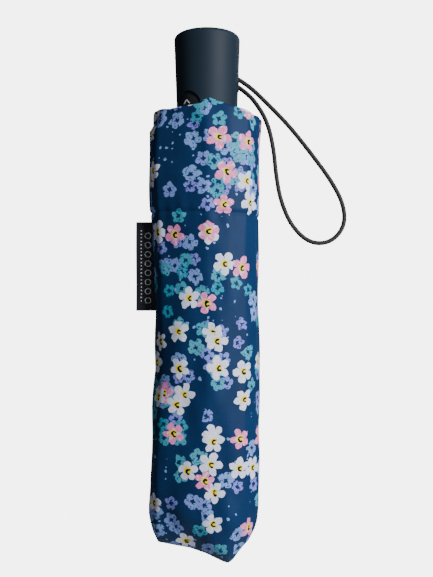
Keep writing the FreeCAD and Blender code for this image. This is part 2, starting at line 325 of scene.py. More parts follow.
def cellCentres(tree, vector, cell, shift, looseness):
    # one flower to each cell: place from its centre, the centre, and three random values
    moved = vectorNode(tree, "ADD", vector, (shift, shift * 1.7, 0.0))
    node = tree.nodes.new("ShaderNodeTexVoronoi")
    node.voronoi_dimensions = "2D"
    node.inputs["Scale"].default_value = 1.0 / cell
    node.inputs["Randomness"].default_value = looseness
    tree.links.new(moved, node.inputs["Vector"])
    centre = node.outputs["Position"]
    return vectorNode(tree, "SUBTRACT", moved, centre), centre, splitVector(tree, node.outputs["Color"])


def petals(tree, local, turn, radius, shape):
    # 1 inside radius * (waist + (1 - waist) * |cos(petals / 2 * angle)| ^ roundness)
    x, y, _ = splitVector(tree, local)
    distance = vectorNode(tree, "LENGTH", local)
    turned = mathNode(tree, "MULTIPLY", turn, 2 * math.pi)
    angle = mathNode(tree, "ADD", mathNode(tree, "ARCTAN2", y, x), turned)
    wave = mathNode(tree, "COSINE", mathNode(tree, "MULTIPLY", angle, printPlan["petalCount"] / 2.0))
    lobe = mathNode(tree, "POWER", mathNode(tree, "ABSOLUTE", wave), shape["roundness"])
    share = mathNode(tree, "MULTIPLY_ADD", lobe, 1 - shape["waist"], shape["waist"])
    inside = mathNode(tree, "SUBTRACT", mathNode(tree, "MULTIPLY", share, radius), distance)
    return softLimit(tree, inside, *printPlan["edge"]), distance, angle


def blooms(tree, centre, shape, random, keep):
    # 1 where the slow noise at the flower's centre is high enough and its own random value allows it
    slow, _ = noiseNode(tree, centre, shape["patchScale"], 0.0, 0.5, "2D")
    near = mathNode(tree, "GREATER_THAN", slow, shape["patchLow"])
    return mathNode(tree, "MULTIPLY", near, mathNode(tree, "LESS_THAN", random, keep))


def yellowEye(tree, under, distance, angle, mask):
    # disc whose radius is waved into short rays
    eye = printPlan["eye"]
    wave = mathNode(tree, "COSINE", mathNode(tree, "MULTIPLY", angle, eye["rays"]))
    reach = mathNode(tree, "MULTIPLY_ADD", wave, eye["rayDepth"], eye["radius"])
    disc = softLimit(tree, mathNode(tree, "SUBTRACT", reach, distance), -0.0001, 0.0002)
    return mixColor(tree, mathNode(tree, "MULTIPLY", disc, mask), under, printPlan["yellow"])


def darkCrescent(tree, under, local, mask):
    # ring beside the middle, left out where |y| is less than x
    crescent = printPlan["crescent"]
    offset = vectorNode(tree, "ADD", local, crescent["shift"])
    fromRing = mathNode(tree, "SUBTRACT", vectorNode(tree, "LENGTH", offset), crescent["radius"])
    inside = mathNode(tree, "SUBTRACT", crescent["halfWidth"], mathNode(tree, "ABSOLUTE", fromRing))
    ring = softLimit(tree, inside, 0.0, 0.00012)
    x, y, _ = splitVector(tree, offset)
    gap = softLimit(tree, mathNode(tree, "SUBTRACT", mathNode(tree, "ABSOLUTE", y), x), -0.0002, 0.0002)
    shown = mathNode(tree, "MULTIPLY", mathNode(tree, "MULTIPLY", ring, gap), mask)
    return mixColor(tree, shown, under, printPlan["ink"])


def bigFlowers(tree, under, vector, cell, shift, keep, tint, otherTint, otherShare):
    shape = printPlan["big"]
    local, centre, (randomA, randomB, randomC) = cellCentres(tree, vector, cell, shift, shape["looseness"])
    radius = mathNode(tree, "MULTIPLY_ADD", randomC, shape["spread"], shape["radius"])
    mask, distance, angle = petals(tree, local, randomA, radius, shape)
    mask = mathNode(tree, "MULTIPLY", mask, blooms(tree, centre, shape, randomB, keep))
    isOther = mathNode(tree, "LESS_THAN", randomA, otherShare)
    own = mixColor(tree, isOther, printPlan[tint], printPlan[otherTint])
    wash, _ = noiseNode(tree, vector, shape["washScale"], 2.0, 0.6, "2D")
    lilac = mathNode(tree, "MULTIPLY", softLimit(tree, wash, 0.50, 0.68), 0.35)
    pale = mathNode(tree, "MULTIPLY", softLimit(tree, wash, 0.46, 0.34), 0.6)
    own = mixColor(tree, lilac, own, printPlan["lilacWash"])
    own = mixColor(tree, pale, own, printPlan["paleWash"])
    under = mixColor(tree, mask, under, own)
    under = yellowEye(tree, under, distance, angle, mask)
    return darkCrescent(tree, under, local, mask)


def smallBlossoms(tree, under, vector, cell, shift, keep, tint, otherTint):
    # petals round an open heart, broken up as by a dry brush
    shape = printPlan["small"]
    local, centre, (randomA, randomB, randomC) = cellCentres(tree, vector, cell, shift, shape["looseness"])
    radius = mathNode(tree, "MULTIPLY_ADD", randomC, shape["spread"], shape["radius"])
    mask, distance, angle = petals(tree, local, randomB, radius, shape)
    wave = mathNode(tree, "SINE", mathNode(tree, "MULTIPLY", angle, shape["heartWaves"]))
    heart = mathNode(tree, "MULTIPLY_ADD", wave, shape["heartDepth"], shape["heart"])
    hole = softLimit(tree, mathNode(tree, "SUBTRACT", distance, heart), -0.0001, 0.00015)
    mask = mathNode(tree, "MULTIPLY", mathNode(tree, "MULTIPLY", mask, hole),
                    blooms(tree, centre, shape, randomA, keep))
    brush, _ = noiseNode(tree, vector, shape["brushScale"], 2.0, 0.6, "2D")
    mask = mathNode(tree, "MULTIPLY", mask, softLimit(tree, brush, 0.34, 0.42))
    return mixColor(tree, mask, under, mixColor(tree, randomC, printPlan[tint], printPlan[otherTint]))


def specks(tree, under, vector, cell, shift, keep, tint):
    shape = printPlan["speck"]
    local, centre, (randomA, _, randomC) = cellCentres(tree, vector, cell, shift, shape["looseness"])
    size = mathNode(tree, "MULTIPLY_ADD", randomC, shape["spread"], shape["radius"])
    inside = mathNode(tree, "SUBTRACT", size, vectorNode(tree, "LENGTH", local))
    dot = softLimit(tree, inside, 0.0, 0.00015)
    mask = mathNode(tree, "MULTIPLY", dot, blooms(tree, centre, shape, randomA, keep))
    return mixColor(tree, mask, under, printPlan[tint])


def weaveGrain(tree, uv):
    # plain weave, sin(u) * sin(v) over the thread pitch, with uneven threads
    u, v, _ = splitVector(tree, uv)
    turn = 2 * math.pi / printPlan["threadPitch"]
    warp = mathNode(tree, "SINE", mathNode(tree, "MULTIPLY", u, turn))
    weft = mathNode(tree, "SINE", mathNode(tree, "MULTIPLY", v, turn))
    weave = mathNode(tree, "MULTIPLY_ADD", mathNode(tree, "MULTIPLY", warp, weft), 0.5, 0.5)
    slub, _ = noiseNode(tree, uv, printPlan["slubScale"], 2.0, 0.7, "2D")
    return mathNode(tree, "MULTIPLY_ADD", slub, 0.6, mathNode(tree, "MULTIPLY", weave, 0.4))


def flowerCloth(name):
    plan = printPlan
    material, tree, shader = newMaterial(name, Specular_IOR_Level=0.10, Sheen_Weight=0.06,
                                         Sheen_Roughness=0.5, Sheen_Tint=plan["sheenTint"])
    uv = coordinates(tree, "UV")
    # a slight wobble, so that no outline is ruled
    _, wobbleColor = noiseNode(tree, uv, plan["wobbleScale"], 1.0, 0.5, "2D")
    wobble = vectorNode(tree, "SUBTRACT", wobbleColor, (0.5, 0.5, 0.5))
    cloth = vectorNode(tree, "ADD", uv, vectorNode(tree, "SCALE", wobble, scale=plan["wobble"]))
    slow, _ = noiseNode(tree, uv, plan["fadeScale"], 3.0, 0.6, "2D")
    deep, pale = [tuple(c * share for c in plan["navy"]) for share in plan["fade"]]
    shade = mixColor(tree, slow, deep, pale)
    shade = specks(tree, shade, cloth, *plan["specks"])
    for layer in plan["blossoms"]:
        shade = smallBlossoms(tree, shade, cloth, *layer)
    for layer in plan["flowers"]:
        shade = bigFlowers(tree, shade, cloth, *layer)
    grain = weaveGrain(tree, uv)
    threads = mixColor(tree, softLimit(tree, grain, 0.25, 0.75), *plan["threadShade"])
    woven = tree.nodes.new("ShaderNodeMix")
    woven.data_type = "RGBA"
    woven.blend_type = "MULTIPLY"
    woven.inputs[0].default_value = 1.0
    tree.links.new(shade, woven.inputs[6])
    tree.links.new(threads, woven.inputs[7])
    tree.links.new(woven.outputs[2], shader.inputs["Base Color"])
    tree.links.new(mathNode(tree, "MULTIPLY_ADD", grain, 0.22, 0.44), shader.inputs["Roughness"])
    bumpNode(tree, shader, grain, *plan["bump"])
    return material


clothPrint = flowerCloth("flower_print_cloth")


# name: colour, roughness, scale of the grain, depth of the grain
plasticPlan = {
    "grip_plastic": ((0.0075, 0.0165, 0.029), 0.62, 1800.0, 0.00006),
    "button_plastic": ((0.010, 0.011, 0.014), 0.36, 2200.0, 0.00004),
    "hub_plastic": ((0.020, 0.021, 0.024), 0.5, 1500.0, 0.00008),
    "spoke_fibre": ((0.035, 0.036, 0.042), 0.32, 1200.0, 0.00005),
}
# name: colour, roughness, metallic, how far the drawing lines stretch
metalPlan = {
    "shaft_steel": ((0.52, 0.53, 0.55), 0.3, 1.0, 0.02),
    "spring_steel": ((0.40, 0.40, 0.42), 0.35, 1.0, 1.0),
    "rib_enamel": ((0.030, 0.031, 0.035), 0.42, 0.0, 0.05),
}
braidPlan = {
    "slant": 0.9,
    "strands": 5200.0,
    "fuzzScale": 2600.0,
    "dark": (0.004, 0.004, 0.005),
    "light": (0.022, 0.022, 0.025),
}


def grainPlastic(name, color, roughness, grainScale, grainDepth):
    # moulded plastic: fine grain in the bump, wide slow change in colour and gloss
    material, tree, shader = newMaterial(name, Specular_IOR_Level=0.20)
    place = coordinates(tree, "Object")
    fine, _ = noiseNode(tree, place, grainScale, 3.0, 0.6)
    wide, _ = noiseNode(tree, place, 55.0, 2.0, 0.5)
    dark = tuple(c * 0.85 for c in color)
    light = tuple(c * 1.2 for c in color)
    tree.links.new(mixColor(tree, wide, dark, light), shader.inputs["Base Color"])
    fineRough = mathNode(tree, "MULTIPLY_ADD", fine, 0.08, roughness - 0.09)
    rough = mathNode(tree, "ADD", mathNode(tree, "MULTIPLY", wide, 0.10), fineRough)
    tree.links.new(rough, shader.inputs["Roughness"])
    bumpNode(tree, shader, fine, 0.25, grainDepth)
    return material


def drawnMetal(name, color, roughness, metallic, streak):
    # noise stretched along the shaft makes drawing lines
    material, tree, shader = newMaterial(name, Metallic=metallic)
    place = coordinates(tree, "Object")
    stretch = vectorNode(tree, "MULTIPLY", place, (1.0, 1.0, streak))
    lines, _ = noiseNode(tree, stretch, 1400.0, 2.0, 0.6)
    stain, _ = noiseNode(tree, place, 90.0, 2.0, 0.5)
    mottle = mathNode(tree, "MULTIPLY_ADD", lines, 0.5, mathNode(tree, "MULTIPLY", stain, 0.5))
    dark = tuple(c * 0.75 for c in color)
    light = tuple(min(1, c * 1.2) for c in color)
    tree.links.new(mixColor(tree, mottle, dark, light), shader.inputs["Base Color"])
    tree.links.new(mathNode(tree, "MULTIPLY_ADD", lines, 0.2, roughness - 0.1), shader.inputs["Roughness"])
    bumpNode(tree, shader, lines, 0.15, 0.00003)
    return material


def braidedCord(name):
    # two families of slanting strands, sin((z + slant * x) * strands) * sin((z - slant * x) * strands)
    plan = braidPlan
    material, tree, shader = newMaterial(name, Roughness=0.62, Specular_IOR_Level=0.35)
    place = coordinates(tree, "Object")
    x, _, z = splitVector(tree, place)
    slant = mathNode(tree, "MULTIPLY", x, plan["slant"])
    waves = []
    for kind in ("ADD", "SUBTRACT"):
        run = mathNode(tree, "MULTIPLY", mathNode(tree, kind, z, slant), plan["strands"])
        waves.append(mathNode(tree, "SINE", run))
    strands = mathNode(tree, "MULTIPLY_ADD", mathNode(tree, "MULTIPLY", *waves), 0.5, 0.5)
    fuzz, _ = noiseNode(tree, place, plan["fuzzScale"], 2.0, 0.6)
    height = mathNode(tree, "MULTIPLY_ADD", fuzz, 0.4, mathNode(tree, "MULTIPLY", strands, 0.6))
    tree.links.new(mixColor(tree, height, plan["dark"], plan["light"]), shader.inputs["Base Color"])
    bumpNode(tree, shader, height, 0.6, 0.00025)
    return material


finishes = {name: grainPlastic(name, *values) for name, values in plasticPlan.items()}
finishes.update({name: drawnMetal(name, *values) for name, values in metalPlan.items()})
strapCurve.materials.append(braidedCord("cord_black"))

# finish of each slot that the CAD pieces use
slotFinishes = {
    "handle_plastic": finishes["grip_plastic"],
    "inner_plastic": finishes["hub_plastic"],
    "button_plastic": finishes["button_plastic"],
    "shaft_steel": finishes["shaft_steel"],
    "spring_steel": finishes["spring_steel"],
    "rib_steel": finishes["rib_enamel"],
    "spoke_fibre": finishes["spoke_fibre"],
    "canopy_fabric": clothPrint,
    "sleeve_fabric": clothPrint,
}
for part in frame["record"]["subparts"]:
    finish = slotFinishes.get(part["material_slot"])
    piece = cadNodes[part["node"]]
    if finish is None:
        continue
    if not piece.material_slots:
        piece.data.materials.append(finish)
    for place in piece.material_slots:
        place.material = finish
print("finishes made")

# sleeve
sleevePlan = {
    "columns": 168,
    "rows": 250,
    "wall": 0.5,
    # outline seen along the shaft, mm, from the side seam round the front
    "outline": [(-28.4, 1.5), (-27.6, -6.5), (-24.2, -13.2), (-13.0, -18.8), (0.2, -23.7), (11.5, -22.7),
                (20.6, -19.8), (26.3, -10.5), (27.9, -1.0), (27.2, 8.5), (22.0, 17.0), (10.0, 22.3),
                (-4.0, 23.4), (-16.0, 20.6), (-25.0, 11.8)],
    # how far that outline reaches
    "left": -28.4,
    "right": 27.9,
    "halfDepth": 23.6,
    "sharpCorners": 0.8,
    "softCorners": 6.0,
    # z and the left edge, right edge and half depth there, mm
    "sides": [(-39.5, -27.6, 29, 22.8), (-49.5, -28.4, 28.8, 23.3), (-52.5, -30.4, 28.7, 23.4),
              (-69.5, -30.8, 28, 23.6), (-94.5, -30.3, 27.5, 23.7), (-119.5, -28.6, 27.5, 23.5),
              (-152.5, -27.4, 27.5, 23.2), (-180.5, -27.7, 27.4, 23.2), (-199.5, -29, 27.4, 23.4),
              (-223.5, -29.8, 27.5, 23.7), (-240.5, -30.6, 27.4, 23.6), (-258.5, -30.7, 27.2, 22.8),
              (-284.5, -30.6, 27.2, 22.6)],
    # x and z along the two edges of the mouth and along the sewn end, mm
    "frontMouth": [(-31, -42.1), (-27.9, -41.8), (-21.8, -42.5), (-15.9, -42.1), (-11.1, -41.9),
                   (-5.1, -41.6), (-1.8, -39.9), (1.7, -38.8), (5, -40.1), (10.6, -42.3), (15.7, -43.4),
                   (18.8, -44.1), (22.3, -45.6), (28.9, -45.3), (31, -45.5)],
    "backMouth": [(-31, -50.1), (-22, -47.5), (-5, -45), (12, -44.5), (24, -46), (31, -46)],
    "sewnEnd": [(-31, -256.5), (-30.2, -262.5), (-28.6, -268), (-26.2, -273.1), (-18.3, -274.5),
                (-9.3, -275.9), (-0.4, -278.8), (8.6, -283.1), (11.3, -284), (13.6, -282.5),
                (17.6, -277.2), (22.1, -272.3), (25.7, -266), (27, -261.5), (27.6, -256.5)],
    "endLeft": -30.6,
    "endRight": 27.6,
    # share of the soft corners and where it comes in below the hem, then how much goes again and where
    "softShare": (0.50, 106, 144),
    "softFade": (0.35, 220, 256),
    "taper": 31.0,
    "taperRoundness": 0.62,
    "layerGap": 0.08,
    "layerCross": 0.12,
    "depthWeight": 1.25,
    # waves: height in mm, change round and down the bag in radians a mm, phase
    "broadFold": (0.55, 0.115, 0.035, 0.8),
    "broadFade": (1.0, 0.02, 0.052, 0.0),
    "sideFold": (0.30, 0.31, -0.06, 2.1),
    "fineFold": (0.16, 0.47, 0.16, 0.4),
    "fineFade": (1.0, 0.08, 0.0, 1.3),
    "endPucker": (0.55, 0.26, 0.20, 0.0),
    "mouthWave": (0.25, 0.22, 0.0, 0.9),
    "stitchSink": (0.85, 0.9),
    "stitchPucker": (0.16, 6.0),
    "hemStep": (0.30, 0.6),
    "stitchLeft": -95.4,
    "stitchRight": -97.8,
    "stitchSpan": 56.0,
    "stitchPitch": 2.7,
    "stitchLength": 1.75,
    "stitchLift": 0.05,
    "stitchRadius": 0.34,
}


def closedLine(corners, count, softness):
    # evenly spaced outline through the corners, rounded by a bell-shaped average as wide as softness, mm
    loop = np.array(list(corners) + [corners[0]], float)
    run = np.concatenate([[0], np.cumsum(np.linalg.norm(np.diff(loop, axis=0), axis=1))])
    samples = 1024
    fine = np.linspace(0, run[-1], samples, endpoint=False)
    xy = np.stack([np.interp(fine, run, loop[:, k]) for k in (0, 1)], 1)
    step = run[-1] / samples
    offset = np.minimum(np.arange(samples), samples - np.arange(samples)) * step
    bell = np.exp(-0.5 * (offset / softness) ** 2)
    bell = np.fft.fft(bell / bell.sum())
    xy = np.stack([np.real(np.fft.ifft(np.fft.fft(xy[:, k]) * bell)) for k in (0, 1)], 1)
    around = np.concatenate([xy, xy[:1]])
    run = np.concatenate([[0], np.cumsum(np.linalg.norm(np.diff(around, axis=0), axis=1))])
    even = np.linspace(0, run[-1], count)
    return np.stack([np.interp(even, run, around[:, k]) for k in (0, 1)], 1), run[-1]


def table(value, pairs, column=1):
    # straight lines between the rows of a table
    rows = np.array(pairs, float)
    order = np.argsort(rows[:, 0])
    return np.interp(value, rows[order, 0], rows[order, column])


def stitchHeight(x):
    # the hem's stitching runs slightly downhill from left to right
    plan = sleevePlan
    share = np.clip(x / plan["stitchSpan"] + 0.5, 0, 1)
    return plan["stitchLeft"] + (plan["stitchRight"] - plan["stitchLeft"]) * share


def wave(name, along, z):
    # height * sin(around * along + down * z + phase)
    height, around, down, phase = sleevePlan[name]
    return height * np.sin(along * around + z * down + phase)


def sleeveFolds(along, x, z, mouthZ):
    # folds, puckers and the step of the doubled hem, in mm along the outward direction
    plan = sleevePlan
    fold = wave("broadFold", along, z) * wave("broadFade", along, z)
    fold += wave("sideFold", along, z) * smoothStep(-z, 115, 155)
    fold += wave("fineFold", along, z) * wave("fineFade", along, z)
    fold += wave("endPucker", along, z) * smoothStep(-z, 235, 262)
    below = z - stitchHeight(x)
    sink, sinkReach = plan["stitchSink"]
    pucker, puckerReach = plan["stitchPucker"]
    step, stepReach = plan["hemStep"]
    fold -= sink * np.exp(-(below / sinkReach) ** 2)
    gather = np.sin(along * 0.9 + 0.5 * np.sin(along * 0.21))
    fold += pucker * gather * np.exp(-(below / puckerReach) ** 2)
    fold += step * smoothStep(below, -stepReach, stepReach)
    return fold + wave("mouthWave", along, z) * smoothStep(z, mouthZ - 9, mouthZ)


def sleeveSurface():
    # columns run round the bag from the side seam, rows run down from the mouth to the sewn end, mm
    plan = sleevePlan
    sharp, girth = closedLine(plan["outline"], plan["columns"], plan["sharpCorners"])
    soft, _ = closedLine(plan["outline"], plan["columns"], plan["softCorners"])
    soft = soft * (np.abs(sharp).max(0) / np.abs(soft).max(0))
    side = 0.5 + 0.5 * np.tanh(sharp[:, 0] / 6.0)
    endShare = np.where(sharp[:, 0] < 0, plan["endLeft"] / plan["left"], plan["endRight"] / plan["right"])
    endX = sharp[:, 0] * endShare
    back = smoothStep(sharp[:, 1], -4.0, 6.0)
    mouthZ = (1 - back) * table(endX, plan["frontMouth"]) + back * table(endX, plan["backMouth"])
    endZ = table(endX, plan["sewnEnd"])
    share = np.linspace(0, 1, plan["rows"])[None, :]
    z = mouthZ[:, None] + (endZ - mouthZ)[:, None] * share
    # creased near the hem, rounder further down
    softShare, softTop, softFull = plan["softShare"]
    fade, fadeTop, fadeFull = plan["softFade"]
    crease = 1 - softShare * smoothStep(-z, softTop, softFull) + fade * smoothStep(-z, fadeTop, fadeFull)
    flat = sharp[:, None, :] * crease[..., None] + soft[:, None, :] * (1 - crease[..., None])
    left = table(z, plan["sides"], 1) / plan["left"]
    right = table(z, plan["sides"], 2) / plan["right"]
    x = flat[..., 0] * (left * (1 - side[:, None]) + right * side[:, None])
    y = flat[..., 1] * table(z, plan["sides"], 3) / plan["halfDepth"]
    # the two layers close on each other along the sewn end
    rise = np.clip((z - endZ[:, None]) / plan["taper"], 0, 1)
    y = y * (1 - (1 - rise) ** 2) ** plan["taperRoundness"]
    # at the very end they cross a little, so that no gap is left
    crossing = -np.sign(flat[..., 1] + 1e-9) * plan["layerCross"]
    y = np.where(np.abs(y) < plan["layerGap"], crossing, y)
    along = np.linspace(0, girth, plan["columns"])[:, None]
    fold = sleeveFolds(along, x, z, mouthZ[:, None]) * smoothStep(rise, 0.0, 0.25)
    outward = np.stack([x, y * plan["depthWeight"]], -1)
    outward /= np.linalg.norm(outward, axis=-1, keepdims=True)
    x = x + outward[..., 0] * fold
    y = y + outward[..., 1] * fold
    points = np.stack([x, y, z], -1) / 1000
    uv = np.stack([np.broadcast_to(along, z.shape), -z], -1) / 1000
    return points, uv


sleevePoints, sleeveUv = sleeveSurface()
sleeve = addGrid("sleeve_cloth", sleevePoints, sleeveUv)
wall = sleeve.modifiers.new("wall", "SOLIDIFY")
wall.thickness = sleevePlan["wall"] / 1000
wall.offset = -1.0
sleeve.data.materials.append(clothPrint)
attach(sleeve, "sleeve")
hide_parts("sleeve")


def rowAt(height):
    # the closed line round the sleeve at a height that may depend on x, in metres
    z = sleevePoints[..., 2] * 1000
    target = height(sleevePoints[..., 0] * 1000)
    row = np.argmax(z < target, axis=1)
    index = np.arange(len(z))
    return sleevePoints[index, row]


def dashes(line, pitch, length, lift):
    # starts and ends of stitches spaced evenly along the line, lifted off the cloth
    run = np.concatenate([[0], np.cumsum(np.linalg.norm(np.diff(line, axis=0), axis=1))])
    count = int(run[-1] / pitch)
    start = np.arange(count) * run[-1] / count
    ends = [np.stack([np.interp(at, run, line[:, k]) for k in range(3)], 1)
            for at in (start, start + length)]
    for end in ends:
        out = np.stack([end[:, 0], end[:, 1] * sleevePlan["depthWeight"], np.zeros(len(end))], 1)
        end += out / np.linalg.norm(out, axis=1, keepdims=True) * lift
    return ends


hemStarts, hemEnds = dashes(rowAt(stitchHeight), sleevePlan["stitchPitch"] / 1000,
                            sleevePlan["stitchLength"] / 1000, sleevePlan["stitchLift"] / 1000)
hemStitches = addRods("hem_stitches", hemStarts, hemEnds, sleevePlan["stitchRadius"] / 1000)
threadDark, _, threadShader = newMaterial("thread_dark", Roughness=0.6)
threadShader.inputs["Base Color"].default_value = (0.006, 0.008, 0.014, 1.0)
hemStitches.data.materials.append(threadDark)
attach(hemStitches, "sleeve")
print("sleeve made")

# label in the side seam
labelPlan = {
    # strip, mm
    "left": -38.4,
    "right": -27.4,
    "top": -100.2,
    "bottom": -148.3,
    "half": 0.38,
    "wall": 0.28,
    "columns": 64,
    "rows": 72,
    "sway": (0.55, 0.13, 0.6),
    "bow": 0.25,
    # marks, metres
    "marksFrom": 0.0042,
    "marksTo": 0.0440,
    "ringPitch": 0.0050,
    "ringAcross": 0.0046,
    "ringRadius": 0.0015,
    "ringHalf": 0.00032,
    "dotPitch": 0.0019,
    "dotAcross": 0.0082,
    "dotRadius": 0.00042,
    "threadPitch": 0.0004,
    "dark": (0.004, 0.006, 0.010),
    "light": (0.012, 0.016, 0.024),
    "mark": (0.62, 0.64, 0.68),
}


def labelSurface():
    # a strip folded at its far edge: out along the front, round the fold and back, waved a little
    plan = labelPlan
    reach = plan["right"] - plan["left"] - plan["half"]
    bend = math.pi * plan["half"]
    s = np.linspace(0, 2 * reach + bend, plan["columns"])[:, None]
    turn = np.clip((s - reach) / plan["half"], 0, math.pi)
    x = plan["right"] - np.minimum(s, reach) - plan["half"] * np.sin(turn) + np.maximum(s - reach - bend, 0)
    y = -plan["half"] * np.cos(turn)
    z = np.linspace(plan["top"], plan["bottom"], plan["rows"])[None, :]
    free = np.clip((plan["right"] - x) / (plan["right"] - plan["left"]), 0, 1)
    height, down, phase = plan["sway"]
    sway = height * free * np.sin(z * down + phase) + plan["bow"] * free ** 2
    points = np.stack(np.broadcast_arrays(x, y + sway, z), -1) / 1000
    uv = np.stack(np.broadcast_arrays(s, plan["top"] - z), -1) / 1000
    return points, uv


def fromMark(tree, u, v, pitch, across):
    # distance from the nearest mark in a column of them: sqrt(along ^ 2 + across ^ 2)
    phase = mathNode(tree, "SUBTRACT", mathNode(tree, "FLOORED_MODULO", v, pitch), pitch / 2)
    side = mathNode(tree, "SUBTRACT", u, across)
    squares = [mathNode(tree, "MULTIPLY", leg, leg) for leg in (phase, side)]
    return mathNode(tree, "SQRT", mathNode(tree, "ADD", *squares))


def satinLabel(name):
    # a column of rings, and beside it a finer row of dots
    plan = labelPlan
    material, tree, shader = newMaterial(name, Roughness=0.38, Specular_IOR_Level=0.5, Sheen_Weight=0.15)
    u, v, _ = splitVector(tree, coordinates(tree, "UV"))
    firstMark = mathNode(tree, "GREATER_THAN", v, plan["marksFrom"])
    inside = mathNode(tree, "MULTIPLY", firstMark, mathNode(tree, "LESS_THAN", v, plan["marksTo"]))
    fromCentre = fromMark(tree, u, v, plan["ringPitch"], plan["ringAcross"])
    fromRing = mathNode(tree, "ABSOLUTE", mathNode(tree, "SUBTRACT", fromCentre, plan["ringRadius"]))
    ringInside = mathNode(tree, "SUBTRACT", plan["ringHalf"], fromRing)
    ring = softLimit(tree, ringInside, 0.0, 0.0001)
    fromDot = fromMark(tree, u, v, plan["dotPitch"], plan["dotAcross"])
    dot = softLimit(tree, mathNode(tree, "SUBTRACT", plan["dotRadius"], fromDot), 0.0, 0.0001)
    marks = mathNode(tree, "MULTIPLY", mathNode(tree, "MAXIMUM", ring, dot), inside)
    thread = mathNode(tree, "MULTIPLY", v, 2 * math.pi / plan["threadPitch"])
    ribs = mathNode(tree, "MULTIPLY_ADD", mathNode(tree, "SINE", thread), 0.5, 0.5)
    ground = mixColor(tree, ribs, plan["dark"], plan["light"])
    tree.links.new(mixColor(tree, marks, ground, plan["mark"]), shader.inputs["Base Color"])
    bumpNode(tree, shader, mathNode(tree, "ADD", ribs, marks), 0.3, 0.00008)
    return material


labelPoints, labelUv = labelSurface()
label = addGrid("seam_label", labelPoints, labelUv, flip=True)
labelWall = label.modifiers.new("wall", "SOLIDIFY")
labelWall.thickness = labelPlan["wall"] / 1000
labelWall.offset = 0.0
label.data.materials.append(satinLabel("label_satin"))
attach(label, "sleeve")
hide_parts("sleeve_label")
print("label made")

# arrow on the button
arrowPlan = {"azimuth": 232.0, "radius": 17.22, "apexZ": -37.3, "armZ": -39.6, "armWidth": 2.1,
             "thickness": 0.34, "dark": (0.45, 0.46, 0.48), "light": (0.72, 0.73, 0.75)}


def arrowPoints():
    # two bars that meet at the top, laid on the button's round face
    plan = arrowPlan
    turn = math.radians(plan["azimuth"])
    starts, ends = [], []
    for sign in (-1.0, 1.0):
        armEnd = (sign * plan["armWidth"], plan["armZ"])
        for (across, height), store in (((0.0, plan["apexZ"]), starts), (armEnd, ends)):
            angle = turn + across / plan["radius"]
            store.append([plan["radius"] * math.cos(angle), plan["radius"] * math.sin(angle), height])
    return np.array(starts) / 1000, np.array(ends) / 1000


arrowStarts, arrowEnds = arrowPoints()
arrow = addRods("button_arrow", arrowStarts, arrowEnds, arrowPlan["thickness"] / 1000)
arrowPaint, arrowTree, arrowShader = newMaterial("arrow_paint", Roughness=0.5)
arrowPlace = coordinates(arrowTree, "Object")
arrowNoise, _ = noiseNode(arrowTree, arrowPlace, 900.0, 2.0, 0.5)
arrowColor = mixColor(arrowTree, arrowNoise, arrowPlan["dark"], arrowPlan["light"])
arrowTree.links.new(arrowColor, arrowShader.inputs["Base Color"])
arrow.data.materials.append(arrowPaint)
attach(arrow, "button")

# furled canopy
furlPlan = {
    "columns": 240,
    "rows": 90,
    "radius": 19.7,
    "top": -70.0,
    "bottom": -256.5,
    "wall": 0.4,
    "pleats": 8,
    "pleatRise": 1.1,
    "pleatSlant": 0.0045,
    "pleatEdge": 0.86,
    "nip": 0.5,
    "nipReach": 14.0,
    "ripple": 0.15,
    "lipRadius": 18.4,
    "endShare": 0.52,
}
tiePlan = {
    "columns": 180,
    "rows": 24,
    "radius": 21.3,
    "top": -144.5,
    "bottom": -160.5,
    "wall": 0.5,
    "ripple": 0.12,
}


def furledRadius(angle, z):
    # each pleat wraps over the next: a rising saw that drops back at its edge, slanted along the bundle
    plan = furlPlan
    slant = (z - plan["top"]) * plan["pleatSlant"]
    phase = np.mod(plan["pleats"] * angle / (2 * math.pi) + slant, 1.0)
    saw = phase * (1 - smoothStep(phase, plan["pleatEdge"], 1.0))
    tieMiddle = (tiePlan["top"] + tiePlan["bottom"]) / 2
    nip = plan["nip"] * np.exp(-((z - tieMiddle) / plan["nipReach"]) ** 2)
    ripple = plan["ripple"] * np.sin(angle * 17 + z * 0.05) * np.sin(z * 0.03 + angle * 3)
    return plan["radius"] - nip + plan["pleatRise"] * saw + ripple


def roundShaft(radius, angle, z, uvRadius):
    # points at a radius round the shaft, with their place on the unrolled cloth
    z = np.broadcast_to(z, radius.shape)
    points = np.stack([radius * np.cos(angle), radius * np.sin(angle), z], -1) / 1000
    return points, np.stack([np.broadcast_to(angle * uvRadius, radius.shape), -z], -1) / 1000


def aroundAndDown(plan):
    # angles round the shaft, and shares and heights from the top to the bottom
    angle = np.linspace(0, 2 * math.pi, plan["columns"], endpoint=False)[:, None]
    share = np.linspace(0, 1, plan["rows"])[None, :]
    return angle, share, plan["top"] + (plan["bottom"] - plan["top"]) * share


def furledSurface():
    # drawn in at the top, and gathered on the crown at the bottom
    plan = furlPlan
    angle, share, z = aroundAndDown(plan)
    lip = plan["lipRadius"]
    radius = lip + (furledRadius(angle, z) - lip) * smoothStep(share, 0.0, 0.03)
    gathered = 1 - smoothStep(share, 0.93, 1.0)
    radius = radius * (plan["endShare"] + (1 - plan["endShare"]) * gathered)
    return roundShaft(radius, angle, z, 20)


def tieSurface():
    plan = tiePlan
    angle, _, z = aroundAndDown(plan)
    radius = plan["radius"] + plan["ripple"] * np.sin(angle * 9 + z * 0.2)
    return roundShaft(radius, angle, z, plan["radius"])


furledPoints, furledUv = furledSurface()
furled = addGrid("canopy_bundle_cloth", furledPoints, furledUv, closed=True)
furledWall = furled.modifiers.new("wall", "SOLIDIFY")
furledWall.thickness = furlPlan["wall"] / 1000
furledWall.offset = -1.0
furled.data.materials.append(clothPrint)
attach(furled, "upper_shaft")
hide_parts("canopy_bundle")
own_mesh(furled)

